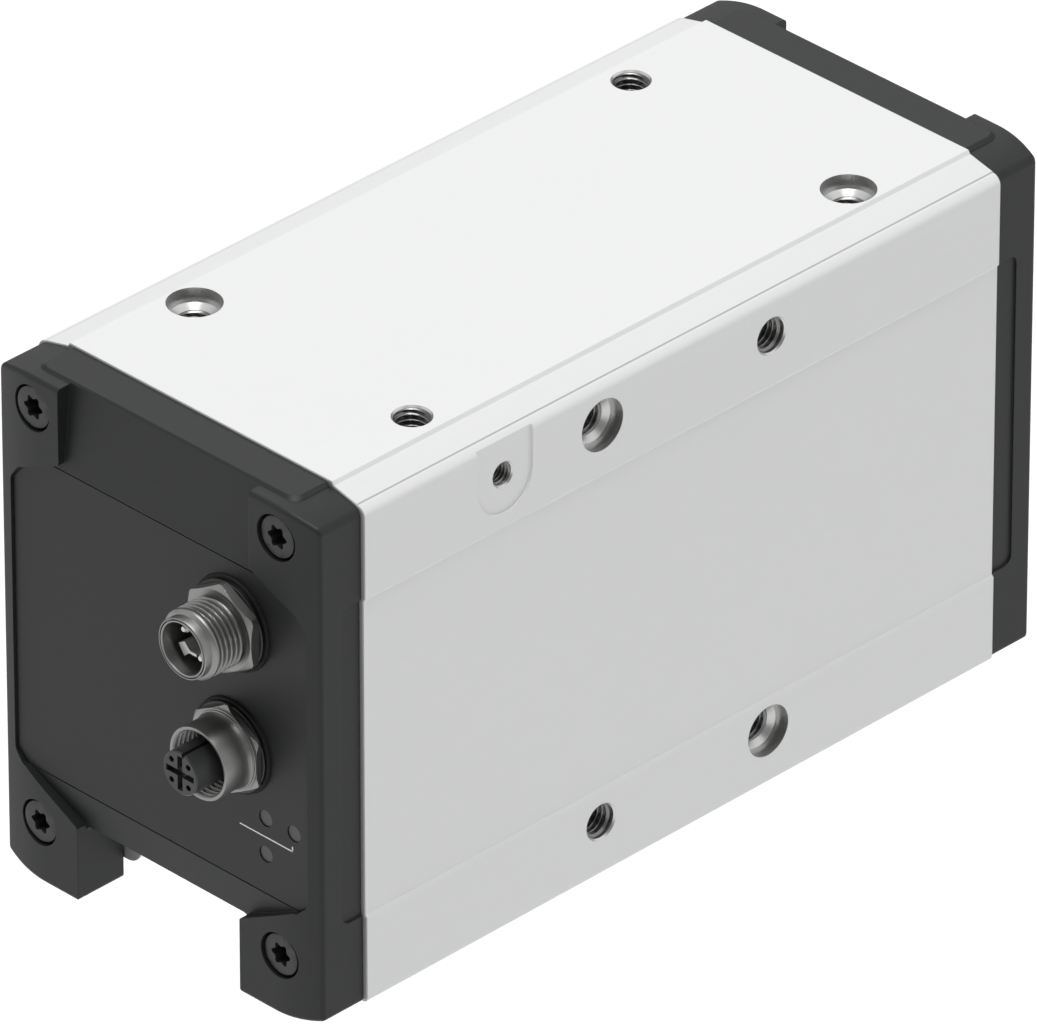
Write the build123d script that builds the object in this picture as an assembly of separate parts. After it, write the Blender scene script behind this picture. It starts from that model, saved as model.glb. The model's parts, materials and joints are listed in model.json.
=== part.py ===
from build123d import *
import math
import os

# Electric parallel gripper with two opposed base jaws.
# Working frame while building: X along the gripping axis, Y across, z measured
# up from the bottom edge of the extruded housing. Every piece is moved down by
# HEIGHT when it is written, so the origin ends up in the middle of the top
# mounting face. All lengths in millimetres.

# ---------------------------------------------------------------- dimensions
LENGTH = 140.85          # extruded housing, end to end
HEIGHT = 92.25           # bottom edge to top mounting face
HALF_W = 36.0            # half width at the proud side bands
HX = LENGTH / 2

# housing section
PLATEAU_Y = 28.94        # half width of the top mounting face
STEP_DROP = 0.62         # step beside the mounting face
CHAMFER_Y = 34.75        # where the sloped shoulder meets the corner radius
CHAMFER_Z = 90.35
BAND_HI = 73.77          # lower edge of the upper proud band
BAND_LO = 16.0           # upper edge of the lower proud band
BAND_DEPTH = 0.38
CAVITY_Y = 31.3          # main cavity half width
CAVITY_Z0, CAVITY_Z1 = 24.0, 76.0
ROOF_Y, ROOF_Z = 18.0, 84.0
CHANNEL_Y = 21.5         # channel that holds the guide rails
SLOT_Y = 14.5            # half width of the slot the jaws come out of
LIP_Z = 2.15             # underside beside the slot

# end covers
COVER_FRONT = 10.35      # outer face, from the housing end
COVER_GAP = 0.40         # gasket thickness
COVER_Y = 35.4
COVER_TOP, COVER_BOT = 91.5, -1.4
PLATEAU_TOP = 91.95      # raised middle of the cover's top
FOIL_T, FOIL_GAP = 0.25, 0.20
COVER_EDGE_R = 0.8       # soft edge round the outer face
COVER_CREASE = 9.0       # where the bowed face meets the side
PANEL_E = 9.15           # recessed middle panel
NOTCH_Y = 18.2
NOTCH_Z = 12.05
BOSS_Y = 21.05
SCREW_Y, SCREW_ZT, SCREW_ZB = 26.95, 85.7, 9.5
RECESS_D, HEAD_D, COVER_SCREW_D = 8.0, 7.2, 4.0

# mounting holes
TOP_DX, TOP_DY = 48.35, 24.0        # half spacings on the top face
SIDE_DX, SIDE_ZT, SIDE_ZB = 18.8, 83.0, 9.95
M6_R = 3.0
M6_DEPTH = 12.0
BIG_D, BIG_DEPTH = 9.1, 2.3         # counterbore for a locating sleeve
CSK_D = 6.62
GROUND_X, GROUND_Z = -40.15, 83.14
GROUND_R = 2.0

# connectors on the front cover (y, z of their axes)
CON_Y = -16.2
POWER_Z, COM_Z = 65.2, 42.9

# rack and pinion
MOD_R, PINION_T = 1.0, 16
RACK_PITCH_Y = MOD_R * PINION_T / 2
STROKE = 41.0
JAW_HALF_GAP = 0.5

# reduction gear
MOD_G, GEAR_T, MOTOR_T = 0.8, 50, 16
MOTOR_X = MOD_G * (GEAR_T + MOTOR_T) / 2
PRESSURE = math.radians(20)

os.makedirs("parts", exist_ok=True)
NODES = {}


def put(name, *shapes):
    solids = []
    for s in shapes:
        solids.extend(s.solids())
    NODES[name] = solids


def box(x0, x1, y0, y1, z0, z1):
    return Pos((x0 + x1) / 2, (y0 + y1) / 2, (z0 + z1) / 2) * Box(x1 - x0, y1 - y0, z1 - z0)


def cyl_z(r, x, y, z0, z1):
    return Pos(x, y, (z0 + z1) / 2) * Cylinder(r, z1 - z0)


def cyl_x(r, x0, x1, y, z):
    return Pos((x0 + x1) / 2, y, z) * Rot(0, 90, 0) * Cylinder(r, x1 - x0)


def cyl_y(r, y0, y1, x, z):
    return Pos(x, (y0 + y1) / 2, z) * Rot(90, 0, 0) * Cylinder(r, y1 - y0)


def cone_z(r0, r1, x, y, z0, z1):
    return Pos(x, y, (z0 + z1) / 2) * Cone(r0, r1, z1 - z0)


def prism_yz(points, x0, x1):
    w = Polyline(*[(p[0], p[1]) for p in points], close=True)
    f = Plane.YZ * make_face(w)
    return Pos(x0, 0, 0) * extrude(f, amount=x1 - x0, dir=(1, 0, 0))


def prism_xz(points, y0, y1):
    w = Polyline(*[(p[0], 0, p[1]) for p in points], close=True)
    f = make_face(w)
    return Pos(0, y0, 0) * extrude(f, amount=y1 - y0, dir=(0, 1, 0))


def prism_xy(points, z0, z1):
    w = Polyline(*[(p[0], p[1], 0) for p in points], close=True)
    f = make_face(w)
    return Pos(0, 0, z0) * extrude(f, amount=z1 - z0, dir=(0, 0, 1))


def mirror_pts(right):
    """Right half outline (y >= 0), top to bottom, to a closed outline."""
    return right + [(-y, z) for (y, z) in reversed(right)]


def arc_pts(cx, cz, r, a0, a1, n):
    return [(cx + r * math.cos(math.radians(a0 + (a1 - a0) * i / n)),
             cz + r * math.sin(math.radians(a0 + (a1 - a0) * i / n))) for i in range(n + 1)]


def screw_hole(kind, big):
    """Cutter for a threaded mounting hole along +Z with its mouth at z = 0."""
    c = Pos(0, 0, -M6_DEPTH / 2) * Cylinder(M6_R, M6_DEPTH)
    c += Pos(0, 0, -M6_DEPTH - 0.75) * Cone(0.05, M6_R, 1.5)
    if big:
        c += Pos(0, 0, -BIG_DEPTH / 2) * Cylinder(BIG_D / 2, BIG_DEPTH)
        c += Pos(0, 0, -BIG_DEPTH - 0.425) * Cone(M6_R, BIG_D / 2 - 0.55, 0.85)
    else:
        c += Pos(0, 0, -0.155) * Cone(M6_R, CSK_D / 2, 0.31)
    return c + Pos(0, 0, 0.5) * Cylinder(CSK_D / 2 if not big else BIG_D / 2, 1.0)


# ---------------------------------------------------------------- housing
right = [(0, HEIGHT), (PLATEAU_Y, HEIGHT), (PLATEAU_Y + 0.42, HEIGHT - STEP_DROP)]
right += [(CHAMFER_Y - 0.55, CHAMFER_Z + 0.13), (CHAMFER_Y - 0.42, CHAMFER_Z - 0.02), (CHAMFER_Y - 0.28, CHAMFER_Z - 0.02)]
right += arc_pts(HALF_W - 1.75, CHAMFER_Z - 1.75, 1.75, 72, 0, 12)
right += [(HALF_W, BAND_HI + 0.25), (HALF_W - BAND_DEPTH, BAND_HI - 0.2),
          (HALF_W - BAND_DEPTH, BAND_LO + 0.2), (HALF_W, BAND_LO - 0.25)]
right += arc_pts(HALF_W - 0.9, 0.9, 0.9, 0, -90, 5)
right += [(27.6, 0), (25.6, LIP_Z)]
right += arc_pts(SLOT_Y + 3.2, LIP_Z + 3.2, 3.2, -90, -180, 8)
right += [(SLOT_Y, 8.0), (CHANNEL_Y, 8.0), (CHANNEL_Y, CAVITY_Z0), (CAVITY_Y, CAVITY_Z0)]
right += [(CAVITY_Y, CAVITY_Z1 - 2), (CAVITY_Y - 2, CAVITY_Z1), (ROOF_Y, CAVITY_Z1), (ROOF_Y, ROOF_Z), (0, ROOF_Z)]
outline = right + [(-y, z) for (y, z) in reversed(right) if y > 0]
housing = prism_yz(outline, -HX, HX)

for sx, sy, big in ((-1, 1, True), (1, -1, True), (-1, -1, False), (1, 1, False)):
    housing -= Pos(sx * TOP_DX, sy * TOP_DY, HEIGHT) * screw_hole("m6", big)
for side in (-1, 1):
    # side pattern, locating counterbores on one diagonal
    for sx, z, big in ((-1, SIDE_ZT, True), (1, SIDE_ZB, True), (1, SIDE_ZT, False), (-1, SIDE_ZB, False)):
        x = sx * SIDE_DX * (1 if side < 0 else -1)
        rot = Rot(90, 0, 0) if side < 0 else Rot(-90, 0, 0)
        housing -= Pos(x, side * HALF_W, z) * rot * screw_hole("m6", big)
for end in (-1, 1):
    for y in (-SCREW_Y, SCREW_Y):
        for z in (SCREW_ZT, SCREW_ZB):
            housing -= cyl_x(COVER_SCREW_D / 2, min(end * HX, end * (HX - 15)), max(end * HX, end * (HX - 15)), y, z)
# earth terminal: shallow U-shaped land open at the shoulder, with its threaded hole
housing -= box(GROUND_X - 5.9, GROUND_X + 6.1, -HALF_W - 1, -HALF_W + 0.42, 82.37, 95)
housing -= cyl_y(6.0, -HALF_W - 1, -HALF_W + 0.42, GROUND_X + 0.1, 82.37)
housing -= cyl_y(GROUND_R, -HALF_W - 1, -HALF_W + 9.0, GROUND_X, GROUND_Z)
housing -= Pos(GROUND_X, -HALF_W + 0.42 + 0.15, GROUND_Z) * Rot(90, 0, 0) * Cone(GROUND_R, GROUND_R + 0.3, 0.3)
# threaded holes for the rail screws and for the chassis screws
RAIL_SCREW_X = (-60.0, -20.0, 20.0, 60.0)
RAIL_SCREW_Y = 19.2
for x in RAIL_SCREW_X:
    for y in (-RAIL_SCREW_Y, RAIL_SCREW_Y):
        housing -= cyl_z(1.25, x, y, 3.4, 9)
CHASSIS_XY = [(-24.0, 27.2), (-24.0, -27.2), (49.0, 27.2), (49.0, -27.2)]
for x, y in CHASSIS_XY:
    housing -= cyl_z(1.5, x, y, 13.6, 25)
put("housing_profile", housing)


# ---------------------------------------------------------------- end covers
def cover_blank():
    """Cover in local axes: e outwards along +X from the housing end."""
    dy, dz = COVER_Y - 25.8, 1.75
    rr = (dy * dy + dz * dz) / (2 * dz)
    hm = math.asin(dy / rr) / 2
    ym, zm = 25.8 + rr * math.sin(hm), rr * (1 - math.cos(hm))
    w = Line((-25.8, COVER_TOP), (25.8, COVER_TOP))
    w += ThreePointArc((25.8, COVER_TOP), (ym, COVER_TOP - zm), (COVER_Y, COVER_TOP - dz))
    w += Line((COVER_Y, COVER_TOP - dz), (COVER_Y, COVER_BOT + dz))
    w += ThreePointArc((COVER_Y, COVER_BOT + dz), (ym, COVER_BOT + zm), (25.8, COVER_BOT))
    w += Line((25.8, COVER_BOT), (-25.8, COVER_BOT))
    w += ThreePointArc((-25.8, COVER_BOT), (-ym, COVER_BOT + zm), (-COVER_Y, COVER_BOT + dz))
    w += Line((-COVER_Y, COVER_BOT + dz), (-COVER_Y, COVER_TOP - dz))
    w += ThreePointArc((-COVER_Y, COVER_TOP - dz), (-ym, COVER_TOP - zm), (-25.8, COVER_TOP))
    f = make_face(w)
    f = fillet(f.vertices().filter_by(lambda v: abs(abs(v.X) - COVER_Y) < 0.01 and v.Y > 50), 1.5)
    f = fillet(f.vertices().filter_by(lambda v: abs(abs(v.X) - COVER_Y) < 0.01 and v.Y < COVER_BOT + dz + 0.01), 0.9)
    blank = Pos(COVER_GAP, 0, 0) * extrude(Plane.YZ * f, amount=COVER_FRONT - COVER_GAP, dir=(1, 0, 0))
    ee = COVER_FRONT - COVER_CREASE
    r2 = (dy * dy + ee * ee) / (2 * ee)
    h2 = math.asin(dy / r2) / 2
    xm, yb = COVER_FRONT - r2 * (1 - math.cos(h2)), 25.8 + r2 * math.sin(h2)
    ye = COVER_Y + 1.2
    xe = COVER_FRONT - r2 + math.sqrt(r2 * r2 - (ye - 25.8) ** 2)
    p = Line((COVER_FRONT, -25.8), (COVER_FRONT, 25.8))
    p += ThreePointArc((COVER_FRONT, 25.8), (xm, yb), (xe, ye))
    p += Line((xe, ye), (xe, 40)) + Line((xe, 40), (0, 40)) + Line((0, 40), (0, -40))
    p += Line((0, -40), (xe, -40)) + Line((xe, -40), (xe, -ye))
    p += ThreePointArc((xe, -ye), (xm, -yb), (COVER_FRONT, -25.8))
    body = blank & (Pos(0, 0, -10) * extrude(make_face(p), amount=110, dir=(0, 0, 1)))
    rim = []
    for edge in body.edges():
        bb = edge.bounding_box()
        side = abs(abs(bb.min.Y) - COVER_Y) < 0.02 and abs(abs(bb.max.Y) - COVER_Y) < 0.02
        if bb.min.X > COVER_CREASE - 0.25 and (side or bb.min.Z > COVER_TOP - 2.6 or bb.max.Z < COVER_BOT + 2.6):
            rim.append(edge)
    return fillet(rim, COVER_EDGE_R)


def rounded(points, radii):
    """2-D outline with circular corners, as points."""
    out = []
    n = len(points)
    for i, p in enumerate(points):
        r = radii[i]
        a, b = points[i - 1], points[(i + 1) % n]
        if r <= 0:
            out.append(p)
            continue
        va = (a[0] - p[0], a[1] - p[1])
        vb = (b[0] - p[0], b[1] - p[1])
        la, lb = math.hypot(*va), math.hypot(*vb)
        ua, ub = (va[0] / la, va[1] / la), (vb[0] / lb, vb[1] / lb)
        ang = math.acos(max(-1, min(1, ua[0] * ub[0] + ua[1] * ub[1])))
        t = r / math.tan(ang / 2)
        bis = (ua[0] + ub[0], ua[1] + ub[1])
        lbis = math.hypot(*bis)
        c = (p[0] + bis[0] / lbis * r / math.sin(ang / 2), p[1] + bis[1] / lbis * r / math.sin(ang / 2))
        p0 = (p[0] + ua[0] * t, p[1] + ua[1] * t)
        p1 = (p[0] + ub[0] * t, p[1] + ub[1] * t)
        a0 = math.atan2(p0[1] - c[1], p0[0] - c[0])
        a1 = math.atan2(p1[1] - c[1], p1[0] - c[0])
        d = (a1 - a0 + math.pi) % (2 * math.pi) - math.pi
        for k in range(13):
            out.append((c[0] + r * math.cos(a0 + d * k / 12), c[1] + r * math.sin(a0 + d * k / 12)))
    return out


def make_cover():
    c = cover_blank()
    # raised middle of the top, in line with the mounting face
    low = rounded([(7.95, 28.75), (-3.0, 28.75), (-3.0, -28.75), (7.95, -28.75)], [2.4, 0, 0, 2.4])
    high = rounded([(7.15, 27.95), (-3.0, 27.95), (-3.0, -27.95), (7.15, -27.95)], [1.8, 0, 0, 1.8])
    ramp = loft([Pos(0, 0, COVER_TOP - 0.12) * make_face(Polyline(*[(q[0], q[1], 0) for q in low], close=True)),
                 Pos(0, 0, PLATEAU_TOP) * make_face(Polyline(*[(q[0], q[1], 0) for q in high], close=True))], ruled=True)
    c += ramp & box(COVER_GAP, 9, -40, 40, 80, 99)
    c += box(COVER_GAP, 7.15, -27.0, 27.0, 90.0, COVER_TOP)
    # everything in front of the panel and of its two sloping ends
    relief = [(BOSS_Y, 96), (BOSS_Y, 77.75), (30.6, 73.35), (32.7, 70.6), (32.7, 20.6), (30.7, 18.9),
              (NOTCH_Y, 12.35), (NOTCH_Y, -6)]
    rad = [0, 0.5, 2.2, 2.2, 2.2, 2.2, 0.5, 0]
    full = relief + [(-y, z) for (y, z) in reversed(relief)]
    full = rounded(full, rad + list(reversed(rad)))
    cutter = prism_yz(full, 5.0, 14.0)
    depth = [(7.5, 96.5), (7.5, 91.85), (PANEL_E, 76.5), (PANEL_E, 18.4), (8.25, NOTCH_Z), (8.25, -6.5), (15, -6.5), (15, 96.5)]
    c -= cutter & prism_xz(depth, -40, 40)
    # way out for the jaws
    notch = rounded([(NOTCH_Y, -7), (NOTCH_Y, NOTCH_Z), (-NOTCH_Y, NOTCH_Z), (-NOTCH_Y, -7)], [0, 1.2, 1.2, 0])
    c -= prism_yz(notch, -1, 14)
    for s in (-1, 1):
        # rounded inner bottom corner of each foot
        r = 0.85
        wedge = [(s * (NOTCH_Y - 0.1), COVER_BOT - 0.1), (s * (NOTCH_Y - 0.1), COVER_BOT + r)] + \
                [(s * (NOTCH_Y + r - r * math.cos(a)), COVER_BOT + r - r * math.sin(a)) for a in [math.pi / 2 * k / 10 for k in range(11)]] + \
                [(s * (NOTCH_Y + r), COVER_BOT - 0.1)]
        c -= prism_yz(wedge, -1, 14)
        # side panel that carries on the recessed band of the housing
        pan = rounded([(-1.0, 16.15), (4.75, 16.15), (4.75, 73.85), (-1.0, 73.85)], [0, 1.7, 1.7, 0])
        y0 = COVER_Y - BAND_DEPTH
        c -= prism_xz(pan, *((y0, y0 + 3) if s > 0 else (-y0 - 3, -y0)))
    # screw recesses and clearance holes
    for y in (-SCREW_Y, SCREW_Y):
        for z in (SCREW_ZT, SCREW_ZB):
            c -= cyl_x(RECESS_D / 2, 5.4, 12, y, z)
            c -= cyl_x(COVER_SCREW_D / 2 + 0.25, -1, 6, y, z)
    # hollow behind the panel
    c -= box(-1, 4.8, -27, 27, 19.5, 76)
    return c


cover = make_cover()
front_local = cover
# connector holes and indicator pockets, on the front cover only. In its local
# axes (turned half a turn about the vertical) y changes sign.
SEAL_R = 8.25
LED_YZ = [(-23.05, 32.45), (-29.3, 32.45), (-23.05, 25.9)]
for z in (POWER_Z, COM_Z):
    front_local -= cyl_x(SEAL_R, 8.0, 12, -CON_Y, z)
    front_local -= cyl_x(6.6, 3, 12, -CON_Y, z)
for y, z in LED_YZ:
    front_local -= cyl_x(1.45, 8.0, 12, -y, z)
    front_local -= cyl_x(1.0, -1, 12, -y, z)
def panel_outline(inset):
    """Flat part of the recessed panel, from the upper crease to the lower one."""
    y0, z0, z1 = 32.7 - inset, 18.55 + inset, 76.35 - inset
    half = [(BOSS_Y + 2.6 - inset, z1), (30.35 - inset, 73.45 - inset), (y0, 70.75 - inset), (y0, 20.6), (30.6 - inset, z0)]
    half = [(BOSS_Y + 2.9 - inset * 0.4, z1)] + half[1:]
    pts = half + [(-y, z) for (y, z) in reversed(half)]
    return rounded(pts, [0.4, 1.9, 1.9, 1.7, 0.8, 0.8, 1.7, 1.9, 1.9, 0.4])


front_local -= prism_yz(panel_outline(0.02), PANEL_E - FOIL_T, 12)
foil = prism_yz(panel_outline(0.02 + FOIL_GAP), PANEL_E - FOIL_T, PANEL_E)
for z in (POWER_Z, COM_Z):
    foil -= cyl_x(SEAL_R, 8.0, 12, -CON_Y, z)
for y, z in LED_YZ:
    foil -= cyl_x(1.45, 8.0, 12, -y, z)
put("front_panel_foil", Pos(-HX, 0, 0) * Rot(0, 0, 180) * foil)
put("rear_cover", Pos(HX, 0, 0) * cover)
put("front_cover", Pos(-HX, 0, 0) * Rot(0, 0, 180) * front_local)


def make_gasket():
    ring = [(25.4, COVER_TOP - 1.3), (31.2, COVER_TOP - 1.9), (34.1, 88.3), (34.1, 1.2), (25.4, COVER_BOT + 1.5), (NOTCH_Y + 0.8, COVER_BOT + 1.5),
            (NOTCH_Y + 0.8, NOTCH_Z + 0.9)]
    g = prism_yz(ring + [(-y, z) for (y, z) in reversed(ring)], 0, COVER_GAP)
    g -= box(-1, 1, -22.5, 22.5, 19.5, 83.5)
    g -= box(-1, 1, -30.8, 30.8, 24.5, 75.0)
    for y in (-SCREW_Y, SCREW_Y):
        for z in (SCREW_ZT, SCREW_ZB):
            g -= cyl_x(2.6, -1, 1, y, z)
    # keep to the metal of the housing: nothing hangs over the jaw slot
    g -= box(-1, 1, -SLOT_Y - 3.9, SLOT_Y + 3.9, -5, NOTCH_Z + 0.9)
    return g


gasket = make_gasket()
put("rear_gasket", Pos(HX, 0, 0) * gasket)
put("front_gasket", Pos(-HX, 0, 0) * Rot(0, 0, 180) * gasket)


def star_prism(r_out, r_in, x0, x1, y, z, lobes=6):
    pts = []
    n = lobes * 8
    for i in range(n):
        a = 2 * math.pi * i / n
        r = (r_out + r_in) / 2 + (r_out - r_in) / 2 * math.cos(lobes * a)
        pts.append((y + r * math.cos(a), z + r * math.sin(a)))
    return prism_yz(pts, x0, x1)


def turned(profile, z, y=0.0):
    """Solid of revolution about a line along X at (y, z) from (x, r) points."""
    w = Polyline(*[(p[0], p[1], 0) for p in profile], close=True)
    return Pos(0, y, z) * revolve(make_face(w), axis=Axis.X, revolution_arc=360)


def cover_screw(y, z):
    s = turned([(5.4, 0), (5.4, HEAD_D / 2), (9.72, HEAD_D / 2), (9.86, HEAD_D / 2 - 0.06), (9.92, HEAD_D / 2 - 0.2), (9.92, 0)], z, y)
    s += cyl_x(COVER_SCREW_D / 2, -11.0, 5.5, y, z)
    s -= star_prism(2.08, 1.47, 7.6, 11, y, z)
    return s


screws = [cover_screw(y, z) for y in (-SCREW_Y, SCREW_Y) for z in (SCREW_ZT, SCREW_ZB)]
put("cover_screws", *([Pos(HX, 0, 0) * s for s in screws] + [Pos(-HX, 0, 0) * Rot(0, 0, 180) * s for s in screws]))


# ---------------------------------------------------------------- connectors
def hexagon(af, x0, x1, z):
    r = af / 2 / math.cos(math.radians(30))
    pts = [(r * math.cos(math.radians(90 + 60 * k)), r * math.sin(math.radians(90 + 60 * k)) + z) for k in range(6)]
    h = prism_yz(pts, x0, x1)
    return h


def front_place(shape):
    return Pos(-HX, 0, 0) * Rot(0, 0, 180) * shape


YL = -CON_Y     # connector axis in the cover's local axes
TAIL_E = -6.4   # solder tails reach through the connector board
# power: externally threaded shell, hexagon, two-step nose, wall bushing behind
p_outer = turned([(0.9, 0), (0.9, 6.5), (9.6, 6.5), (9.6, 7.75), (10.4, 7.75), (10.4, 7.0), (12.3, 7.0), (12.3, 6.0),
                  (18.05, 6.0), (18.35, 5.7), (18.6, 5.2), (20.05, 5.2), (20.05, 0)], 0)
p_hex = hexagon(14.05, 10.4, 12.1, 0) & turned([(10.3, 0), (10.3, 7.85), (11.45, 7.85), (12.1, 7.2), (12.1, 0)], 0)
p_bore = turned([(0.5, 0), (0.5, 4.4), (21, 4.4), (21, 0)], 0)
power_shell = (p_outer + p_hex) - p_bore
put("power_connector_shell", front_place(Pos(0, YL, POWER_Z) * power_shell))
p_ins = turned([(0.9, 0), (0.9, 4.4), (12.6, 4.4), (12.6, 0)], 0)
PIN_YZ = [(-1.85, 1.85), (1.85, -1.85), (1.85, 1.85)]
BLADE = [(-1.95, -3.10), (-0.85, -2.15), (0.75, -2.15), (0.75, -1.65), (-0.70, -1.65), (-1.85, -0.45), (-3.20, -1.25)]
for y, z in PIN_YZ:
    p_ins -= cyl_x(0.75, -2, 14, y, z)
p_ins -= prism_yz(BLADE, -2, 14)
put("power_connector_insert", front_place(Pos(0, YL, POWER_Z) * p_ins))
p_pins = []
for y, z in PIN_YZ:
    body = turned([(TAIL_E, 0), (TAIL_E, 0.45), (0.2, 0.45), (0.2, 0.75), (17.4, 0.75), (18.0, 0.4), (18.0, 0)], z, y)
    p_pins.append(Pos(0, YL, POWER_Z) * body)
p_pins.append(Pos(0, YL, POWER_Z) * (prism_yz(BLADE, 0.2, 17.7) + cyl_x(0.45, TAIL_E, 0.5, -1.85, -1.85)))
put("power_connector_contacts", *[front_place(s) for s in p_pins])
p_seal = turned([(8.0, 6.6), (8.0, 8.2), (9.6, 8.2), (9.6, 6.6)], 0)
put("power_connector_seal", front_place(Pos(0, YL, POWER_Z) * p_seal))

# com: plain sleeve with an internal thread, hexagon, socket insert standing proud
COM_RIM = 16.95
c_outer = turned([(0.9, 0), (0.9, 6.5), (9.6, 6.5), (9.6, 7.75), (10.2, 7.75), (10.2, 6.9), (11.5, 6.9), (11.5, 6.3),
                  (12.4, 6.2), (COM_RIM, 6.25), (COM_RIM, 0)], 0)
c_hex = hexagon(14.05, 10.2, 11.1, 0) & turned([(10.1, 0), (10.1, 7.9), (10.75, 7.9), (11.1, 7.5), (11.1, 0)], 0)
com_shell = (c_outer + c_hex) - turned([(10.6, 0), (10.6, 5.95), (15.2, 5.95), (18, 5.95), (18, 0)], 0)
com_shell -= turned([(0.5, 0), (0.5, 3.8), (11, 3.8), (11, 0)], 0)
put("com_connector_shell", front_place(Pos(0, YL, COM_Z) * com_shell))
INS_R = 3.8
INS_E = 20.8
c_ins = turned([(0.9, 0), (0.9, INS_R), (INS_E - 0.2, INS_R), (INS_E, INS_R - 0.2), (INS_E, 0)], 0)
c_ins -= box(INS_E - 1.0, 22, -3.05, 3.05, -0.55, 0.55) + box(INS_E - 1.0, 22, -0.55, 0.55, -3.05, 3.05)
c_ins -= box(11.2, 22, 0.4, 1.0, 3.1, INS_R + 1)
HOLE_YZ = [(1.85, 1.85), (-1.85, 1.85), (1.85, -1.85), (-1.85, -1.85)]
HOLE_R = 0.52
for y, z in HOLE_YZ:
    c_ins -= cyl_x(HOLE_R, -2, 22, y, z)
put("com_connector_insert", front_place(Pos(0, YL, COM_Z) * c_ins))
c_con = []
for y, z in HOLE_YZ:
    tube = turned([(TAIL_E, 0), (TAIL_E, 0.35), (0.2, 0.35), (0.2, HOLE_R), (18.6, HOLE_R), (18.6, 0.36), (9.0, 0.36), (9.0, 0)], z, y)
    c_con.append(Pos(0, YL, COM_Z) * tube)
put("com_connector_contacts", *[front_place(s) for s in c_con])
put("com_connector_seal", front_place(Pos(0, YL, COM_Z) * turned([(8.0, 6.6), (8.0, 8.2), (9.6, 8.2), (9.6, 6.6)], 0)))
nuts = []
for z in (POWER_Z, COM_Z):
    nuts.append(Pos(0, YL, z) * (hexagon(17.0, 2.3, 4.8, 0) - cyl_x(6.5, 1, 6, 0, 0)))
put("connector_back_nuts", *[front_place(s) for s in nuts])
lenses = []
for y, z in LED_YZ:
    lens = cyl_x(1.42, 8.0, 8.95, -y, z) + cyl_x(0.95, -3.4, 8.1, -y, z)
    lenses.append(front_place(lens))
put("indicator_lenses", *lenses)

# ---------------------------------------------------------------- guide rails
RAIL_Z0, RAIL_Z1 = 8.0, 16.0
GROOVE_Z0, GROOVE_Z1, GROOVE_Y = 11.0, 13.6, 17.1


def rail(s):
    r = box(-HX + 0.6, HX - 0.6, SLOT_Y, CHANNEL_Y, RAIL_Z0, RAIL_Z1)
    r -= box(-HX, HX, SLOT_Y - 1, GROOVE_Y, GROOVE_Z0, GROOVE_Z1)
    for x in RAIL_SCREW_X:
        r -= cyl_z(1.3, x, RAIL_SCREW_Y, RAIL_Z0 - 1, RAIL_Z1)
        r -= cyl_z(2.25, x, RAIL_SCREW_Y, RAIL_Z1 - 1.5, RAIL_Z1 + 1)
    return r if s > 0 else Rot(0, 0, 180) * r


put("guide_rail_left", rail(1))
put("guide_rail_right", rail(-1))
rs = []
for x in RAIL_SCREW_X:
    for y in (-RAIL_SCREW_Y, RAIL_SCREW_Y):
        s = cyl_z(1.25, x, y, 3.8, RAIL_Z1 - 1.5) + cyl_z(2.2, x, y, RAIL_Z1 - 1.5, RAIL_Z1 - 0.1)
        s -= cyl_z(0.9, x, y, RAIL_Z1 - 1.1, RAIL_Z1)
        rs.append(s)
put("guide_rail_screws", *rs)

# ---------------------------------------------------------------- base jaws
JAW_HALF = 14.2
JAW_LEN, CARRIAGE_LEN = 38.0, 28.0
JAW_BOT, JAW_PLATE_TOP, JAW_TOP, RACK_SEAT = -3.0, 10.4, 16.4, 17.0
JAW_HOLE_X = (-30.5, -8.5)
JAW_HOLE_Y = 8.5
M5_R, JAW_DOWEL_R = 2.5, 2.0
JAW_DOWEL_X = (-34.0, -5.0)


def base_jaw():
    """Jaw on the -X side, shown closed."""
    x1 = -JAW_HALF_GAP
    plan = rounded([(x1, JAW_HALF), (x1 - JAW_LEN, JAW_HALF), (x1 - JAW_LEN, -JAW_HALF), (x1, -JAW_HALF)], [0.6, 1.2, 1.2, 0.6])
    j = prism_xy(plan, JAW_BOT, JAW_PLATE_TOP)
    j += box(x1 - CARRIAGE_LEN, x1, -JAW_HALF, JAW_HALF, JAW_PLATE_TOP - 1, JAW_TOP)
    j += box(x1 - CARRIAGE_LEN, x1, 8.6, 13.9, JAW_TOP - 1, RACK_SEAT)
    j += box(x1 - CARRIAGE_LEN, x1, -16.8, 16.8, GROOVE_Z0 + 0.1, GROOVE_Z1 - 0.1)
    for x in JAW_HOLE_X:
        for y in (-JAW_HOLE_Y, JAW_HOLE_Y):
            j -= cyl_z(M5_R, x, y, JAW_BOT - 1, JAW_BOT + 8.0)
    for x in JAW_DOWEL_X:
        j -= cyl_z(JAW_DOWEL_R, x, 0, JAW_BOT - 1, JAW_BOT + 5.0)
    for x in RACK_SCREW_X:
        j -= cyl_z(1.0, x, 11.75, 12.9, 18)
    # grease groove along each tongue's top, and a lightening pocket under the pinion
    j -= box(x1 - CARRIAGE_LEN + 4, x1 - 8, -6.0, 3.0, 13.0, 18)
    return j


RACK_SCREW_X = (-24.0, -14.0, -5.0)
jaw = base_jaw()
put("base_jaw_a", jaw)
put("base_jaw_b", Rot(0, 0, 180) * jaw)

# ---------------------------------------------------------------- gear teeth
ADD, DED = 0.9, 1.25


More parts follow.
